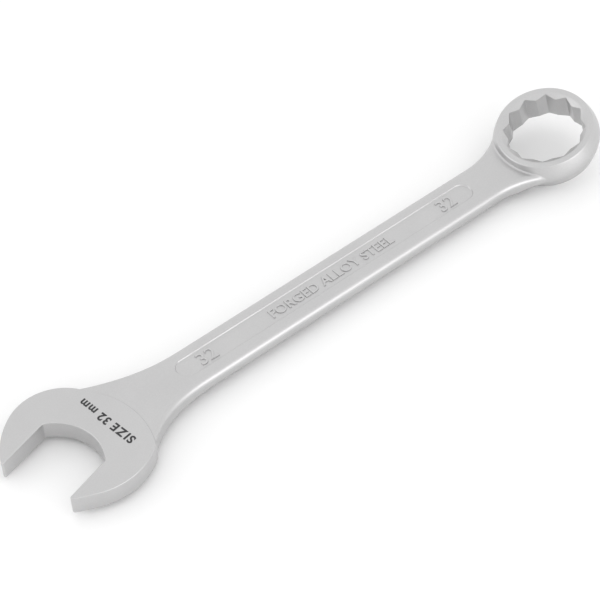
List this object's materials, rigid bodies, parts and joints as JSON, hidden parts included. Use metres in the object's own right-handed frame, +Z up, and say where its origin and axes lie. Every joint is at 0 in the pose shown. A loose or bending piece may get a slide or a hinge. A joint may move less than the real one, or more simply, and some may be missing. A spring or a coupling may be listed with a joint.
{
  "type": "combination wrench",
  "caption": "Forged combination wrench for 32 mm nuts: open jaw turned 15 degrees at one end, twelve-point ring tilted 15 degrees at the other, satin chrome.",
  "frame": {"origin": "centre of the bounding box's underside, on the surface that the wrench lies on", "axes": "+X along the handle from the open jaw to the ring, +Z up out of the face that carries the printed size"},
  "size_m": [0.3134, 0.06, 0.026],
  "materials": {
    "satin_chrome": "satin chrome plate over fine blasted steel, soft broad highlights",
    "black_ink": "thin matt black print"
  },
  "bodies": {
    "root": {"forged_wrench_body": "satin_chrome", "printed_letter_s": "black_ink", "printed_letter_i": "black_ink", "printed_letter_z": "black_ink", "printed_letter_e": "black_ink", "printed_digit_3": "black_ink", "printed_digit_2": "black_ink", "printed_letter_m_1": "black_ink", "printed_letter_m_2": "black_ink"}
  },
  "joints": []
}
